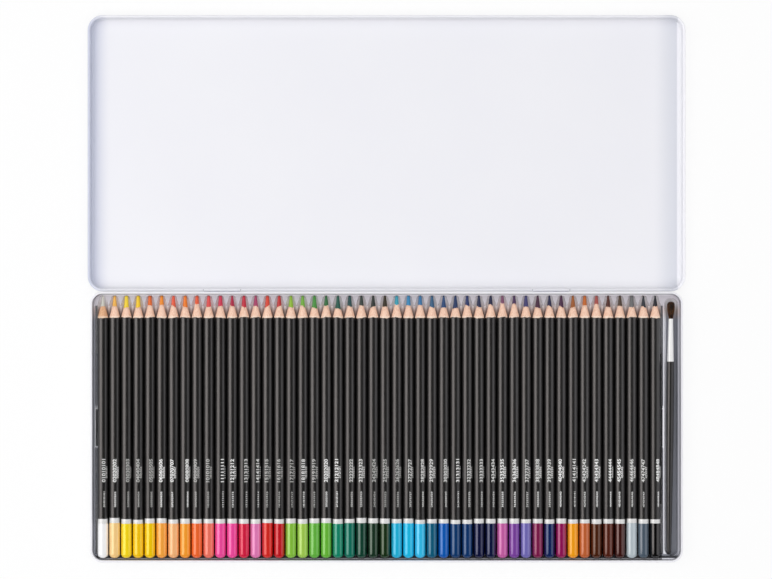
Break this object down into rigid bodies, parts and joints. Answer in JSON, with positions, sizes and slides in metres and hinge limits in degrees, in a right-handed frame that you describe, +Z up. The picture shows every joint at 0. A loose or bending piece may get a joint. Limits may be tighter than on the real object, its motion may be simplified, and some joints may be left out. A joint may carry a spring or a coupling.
{
  "type": "colored pencil tin",
  "caption": "Flat hinged metal tin, shown open, with a formed tray that holds a row of round colored pencils and one paint brush.",
  "frame": {"origin": "centre of the flat underside of the base pan", "axes": "+X along the row of pencils, from the first to the brush; +Y from the pencils' rounded ends to their points and on to the open lid; +Z up"},
  "size_m": [0.3998, 0.3655, 0.0121],
  "materials": {
    "enamel": "gloss",
    "tray_plastic": "gloss",
    "hinge_steel": "satin",
    "brush_lacquer": "gloss",
    "ferrule_metal": "polished",
    "brush_hair": "satin",
    "pencil_01": "gloss",
    "pencil_02": "gloss",
    "pencil_03": "gloss",
    "pencil_04": "gloss",
    "pencil_05": "gloss",
    "pencil_06": "gloss",
    "pencil_07": "gloss",
    "pencil_08": "gloss",
    "pencil_09": "gloss",
    "pencil_10": "gloss",
    "pencil_11": "gloss",
    "pencil_12": "gloss",
    "pencil_13": "gloss",
    "pencil_14": "gloss",
    "pencil_15": "gloss",
    "pencil_16": "gloss",
    "pencil_17": "gloss",
    "pencil_18": "gloss",
    "pencil_19": "gloss",
    "pencil_20": "gloss",
    "pencil_21": "gloss",
    "pencil_22": "gloss",
    "pencil_23": "gloss",
    "pencil_24": "gloss",
    "pencil_25": "gloss",
    "pencil_26": "gloss",
    "pencil_27": "gloss",
    "pencil_28": "gloss",
    "pencil_29": "gloss",
    "pencil_30": "gloss",
    "pencil_31": "gloss",
    "pencil_32": "gloss",
    "pencil_33": "gloss",
    "pencil_34": "gloss",
    "pencil_35": "gloss",
    "pencil_36": "gloss",
    "pencil_37": "gloss",
    "pencil_38": "gloss",
    "pencil_39": "gloss",
    "pencil_40": "gloss",
    "pencil_41": "gloss",
    "pencil_42": "gloss",
    "pencil_43": "gloss",
    "pencil_44": "gloss",
    "pencil_45": "gloss",
    "pencil_46": "gloss",
    "pencil_47": "gloss",
    "pencil_48": "gloss"
  },
  "bodies": {
    "base": {"base_pan": "enamel", "hinge_lug_left": "enamel", "hinge_lug_right": "enamel", "hinge_pin_left": "hinge_steel", "hinge_pin_right": "hinge_steel"},
    "lid": {"lid_shell": "enamel"},
    "tray": {"tray": "tray_plastic"},
    "brush": {"brush_handle": "brush_lacquer", "brush_ferrule": "ferrule_metal", "brush_hair": "brush_hair"},
    "pencil_01": {"pencil_01": "pencil_01"},
    "pencil_02": {"pencil_02": "pencil_02"},
    "pencil_03": {"pencil_03": "pencil_03"},
    "pencil_04": {"pencil_04": "pencil_04"},
    "pencil_05": {"pencil_05": "pencil_05"},
    "pencil_06": {"pencil_06": "pencil_06"},
    "pencil_07": {"pencil_07": "pencil_07"},
    "pencil_08": {"pencil_08": "pencil_08"},
    "pencil_09": {"pencil_09": "pencil_09"},
    "pencil_10": {"pencil_10": "pencil_10"},
    "pencil_11": {"pencil_11": "pencil_11"},
    "pencil_12": {"pencil_12": "pencil_12"},
    "pencil_13": {"pencil_13": "pencil_13"},
    "pencil_14": {"pencil_14": "pencil_14"},
    "pencil_15": {"pencil_15": "pencil_15"},
    "pencil_16": {"pencil_16": "pencil_16"},
    "pencil_17": {"pencil_17": "pencil_17"},
    "pencil_18": {"pencil_18": "pencil_18"},
    "pencil_19": {"pencil_19": "pencil_19"},
    "pencil_20": {"pencil_20": "pencil_20"},
    "pencil_21": {"pencil_21": "pencil_21"},
    "pencil_22": {"pencil_22": "pencil_22"},
    "pencil_23": {"pencil_23": "pencil_23"},
    "pencil_24": {"pencil_24": "pencil_24"},
    "pencil_25": {"pencil_25": "pencil_25"},
    "pencil_26": {"pencil_26": "pencil_26"},
    "pencil_27": {"pencil_27": "pencil_27"},
    "pencil_28": {"pencil_28": "pencil_28"},
    "pencil_29": {"pencil_29": "pencil_29"},
    "pencil_30": {"pencil_30": "pencil_30"},
    "pencil_31": {"pencil_31": "pencil_31"},
    "pencil_32": {"pencil_32": "pencil_32"},
    "pencil_33": {"pencil_33": "pencil_33"},
    "pencil_34": {"pencil_34": "pencil_34"},
    "pencil_35": {"pencil_35": "pencil_35"},
    "pencil_36": {"pencil_36": "pencil_36"},
    "pencil_37": {"pencil_37": "pencil_37"},
    "pencil_38": {"pencil_38": "pencil_38"},
    "pencil_39": {"pencil_39": "pencil_39"},
    "pencil_40": {"pencil_40": "pencil_40"},
    "pencil_41": {"pencil_41": "pencil_41"},
    "pencil_42": {"pencil_42": "pencil_42"},
    "pencil_43": {"pencil_43": "pencil_43"},
    "pencil_44": {"pencil_44": "pencil_44"},
    "pencil_45": {"pencil_45": "pencil_45"},
    "pencil_46": {"pencil_46": "pencil_46"},
    "pencil_47": {"pencil_47": "pencil_47"},
    "pencil_48": {"pencil_48": "pencil_48"}
  },
  "joints": [
    {"name": "lid_hinge", "type": "hinge", "parent": "base", "child": "lid", "pos_m": [0, 0.09145, 0.0066], "axis": [-1, 0, 0], "range_deg": [-180, 0]},
    {"name": "tray_lift", "type": "slide", "parent": "base", "child": "tray", "axis": [0, 0, 1], "range_m": [0, 0.04]},
    {"name": "brush_lift", "type": "slide", "parent": "tray", "child": "brush", "axis": [0, 0, 1], "range_m": [0, 0.04]},
    {"name": "pencil_01_lift", "type": "slide", "parent": "tray", "child": "pencil_01", "axis": [0, 0, 1], "range_m": [0, 0.04]},
    {"name": "pencil_02_lift", "type": "slide", "parent": "tray", "child": "pencil_02", "axis": [0, 0, 1], "range_m": [0, 0.04]},
    {"name": "pencil_03_lift", "type": "slide", "parent": "tray", "child": "pencil_03", "axis": [0, 0, 1], "range_m": [0, 0.04]},
    {"name": "pencil_04_lift", "type": "slide", "parent": "tray", "child": "pencil_04", "axis": [0, 0, 1], "range_m": [0, 0.04]},
    {"name": "pencil_05_lift", "type": "slide", "parent": "tray", "child": "pencil_05", "axis": [0, 0, 1], "range_m": [0, 0.04]},
    {"name": "pencil_06_lift", "type": "slide", "parent": "tray", "child": "pencil_06", "axis": [0, 0, 1], "range_m": [0, 0.04]},
    {"name": "pencil_07_lift", "type": "slide", "parent": "tray", "child": "pencil_07", "axis": [0, 0, 1], "range_m": [0, 0.04]},
    {"name": "pencil_08_lift", "type": "slide", "parent": "tray", "child": "pencil_08", "axis": [0, 0, 1], "range_m": [0, 0.04]},
    {"name": "pencil_09_lift", "type": "slide", "parent": "tray", "child": "pencil_09", "axis": [0, 0, 1], "range_m": [0, 0.04]},
    {"name": "pencil_10_lift", "type": "slide", "parent": "tray", "child": "pencil_10", "axis": [0, 0, 1], "range_m": [0, 0.04]},
    {"name": "pencil_11_lift", "type": "slide", "parent": "tray", "child": "pencil_11", "axis": [0, 0, 1], "range_m": [0, 0.04]},
    {"name": "pencil_12_lift", "type": "slide", "parent": "tray", "child": "pencil_12", "axis": [0, 0, 1], "range_m": [0, 0.04]},
    {"name": "pencil_13_lift", "type": "slide", "parent": "tray", "child": "pencil_13", "axis": [0, 0, 1], "range_m": [0, 0.04]},
    {"name": "pencil_14_lift", "type": "slide", "parent": "tray", "child": "pencil_14", "axis": [0, 0, 1], "range_m": [0, 0.04]},
    {"name": "pencil_15_lift", "type": "slide", "parent": "tray", "child": "pencil_15", "axis": [0, 0, 1], "range_m": [0, 0.04]},
    {"name": "pencil_16_lift", "type": "slide", "parent": "tray", "child": "pencil_16", "axis": [0, 0, 1], "range_m": [0, 0.04]},
    {"name": "pencil_17_lift", "type": "slide", "parent": "tray", "child": "pencil_17", "axis": [0, 0, 1], "range_m": [0, 0.04]},
    {"name": "pencil_18_lift", "type": "slide", "parent": "tray", "child": "pencil_18", "axis": [0, 0, 1], "range_m": [0, 0.04]},
    {"name": "pencil_19_lift", "type": "slide", "parent": "tray", "child": "pencil_19", "axis": [0, 0, 1], "range_m": [0, 0.04]},
    {"name": "pencil_20_lift", "type": "slide", "parent": "tray", "child": "pencil_20", "axis": [0, 0, 1], "range_m": [0, 0.04]},
    {"name": "pencil_21_lift", "type": "slide", "parent": "tray", "child": "pencil_21", "axis": [0, 0, 1], "range_m": [0, 0.04]},
    {"name": "pencil_22_lift", "type": "slide", "parent": "tray", "child": "pencil_22", "axis": [0, 0, 1], "range_m": [0, 0.04]},
    {"name": "pencil_23_lift", "type": "slide", "parent": "tray", "child": "pencil_23", "axis": [0, 0, 1], "range_m": [0, 0.04]},
    {"name": "pencil_24_lift", "type": "slide", "parent": "tray", "child": "pencil_24", "axis": [0, 0, 1], "range_m": [0, 0.04]},
    {"name": "pencil_25_lift", "type": "slide", "parent": "tray", "child": "pencil_25", "axis": [0, 0, 1], "range_m": [0, 0.04]},
    {"name": "pencil_26_lift", "type": "slide", "parent": "tray", "child": "pencil_26", "axis": [0, 0, 1], "range_m": [0, 0.04]},
    {"name": "pencil_27_lift", "type": "slide", "parent": "tray", "child": "pencil_27", "axis": [0, 0, 1], "range_m": [0, 0.04]},
    {"name": "pencil_28_lift", "type": "slide", "parent": "tray", "child": "pencil_28", "axis": [0, 0, 1], "range_m": [0, 0.04]},
    {"name": "pencil_29_lift", "type": "slide", "parent": "tray", "child": "pencil_29", "axis": [0, 0, 1], "range_m": [0, 0.04]},
    {"name": "pencil_30_lift", "type": "slide", "parent": "tray", "child": "pencil_30", "axis": [0, 0, 1], "range_m": [0, 0.04]},
    {"name": "pencil_31_lift", "type": "slide", "parent": "tray", "child": "pencil_31", "axis": [0, 0, 1], "range_m": [0, 0.04]},
    {"name": "pencil_32_lift", "type": "slide", "parent": "tray", "child": "pencil_32", "axis": [0, 0, 1], "range_m": [0, 0.04]},
    {"name": "pencil_33_lift", "type": "slide", "parent": "tray", "child": "pencil_33", "axis": [0, 0, 1], "range_m": [0, 0.04]},
    {"name": "pencil_34_lift", "type": "slide", "parent": "tray", "child": "pencil_34", "axis": [0, 0, 1], "range_m": [0, 0.04]},
    {"name": "pencil_35_lift", "type": "slide", "parent": "tray", "child": "pencil_35", "axis": [0, 0, 1], "range_m": [0, 0.04]},
    {"name": "pencil_36_lift", "type": "slide", "parent": "tray", "child": "pencil_36", "axis": [0, 0, 1], "range_m": [0, 0.04]},
    {"name": "pencil_37_lift", "type": "slide", "parent": "tray", "child": "pencil_37", "axis": [0, 0, 1], "range_m": [0, 0.04]},
    {"name": "pencil_38_lift", "type": "slide", "parent": "tray", "child": "pencil_38", "axis": [0, 0, 1], "range_m": [0, 0.04]},
    {"name": "pencil_39_lift", "type": "slide", "parent": "tray", "child": "pencil_39", "axis": [0, 0, 1], "range_m": [0, 0.04]},
    {"name": "pencil_40_lift", "type": "slide", "parent": "tray", "child": "pencil_40", "axis": [0, 0, 1], "range_m": [0, 0.04]},
    {"name": "pencil_41_lift", "type": "slide", "parent": "tray", "child": "pencil_41", "axis": [0, 0, 1], "range_m": [0, 0.04]},
    {"name": "pencil_42_lift", "type": "slide", "parent": "tray", "child": "pencil_42", "axis": [0, 0, 1], "range_m": [0, 0.04]},
    {"name": "pencil_43_lift", "type": "slide", "parent": "tray", "child": "pencil_43", "axis": [0, 0, 1], "range_m": [0, 0.04]},
    {"name": "pencil_44_lift", "type": "slide", "parent": "tray", "child": "pencil_44", "axis": [0, 0, 1], "range_m": [0, 0.04]},
    {"name": "pencil_45_lift", "type": "slide", "parent": "tray", "child": "pencil_45", "axis": [0, 0, 1], "range_m": [0, 0.04]},
    {"name": "pencil_46_lift", "type": "slide", "parent": "tray", "child": "pencil_46", "axis": [0, 0, 1], "range_m": [0, 0.04]},
    {"name": "pencil_47_lift", "type": "slide", "parent": "tray", "child": "pencil_47", "axis": [0, 0, 1], "range_m": [0, 0.04]},
    {"name": "pencil_48_lift", "type": "slide", "parent": "tray", "child": "pencil_48", "axis": [0, 0, 1], "range_m": [0, 0.04]}
  ]
}
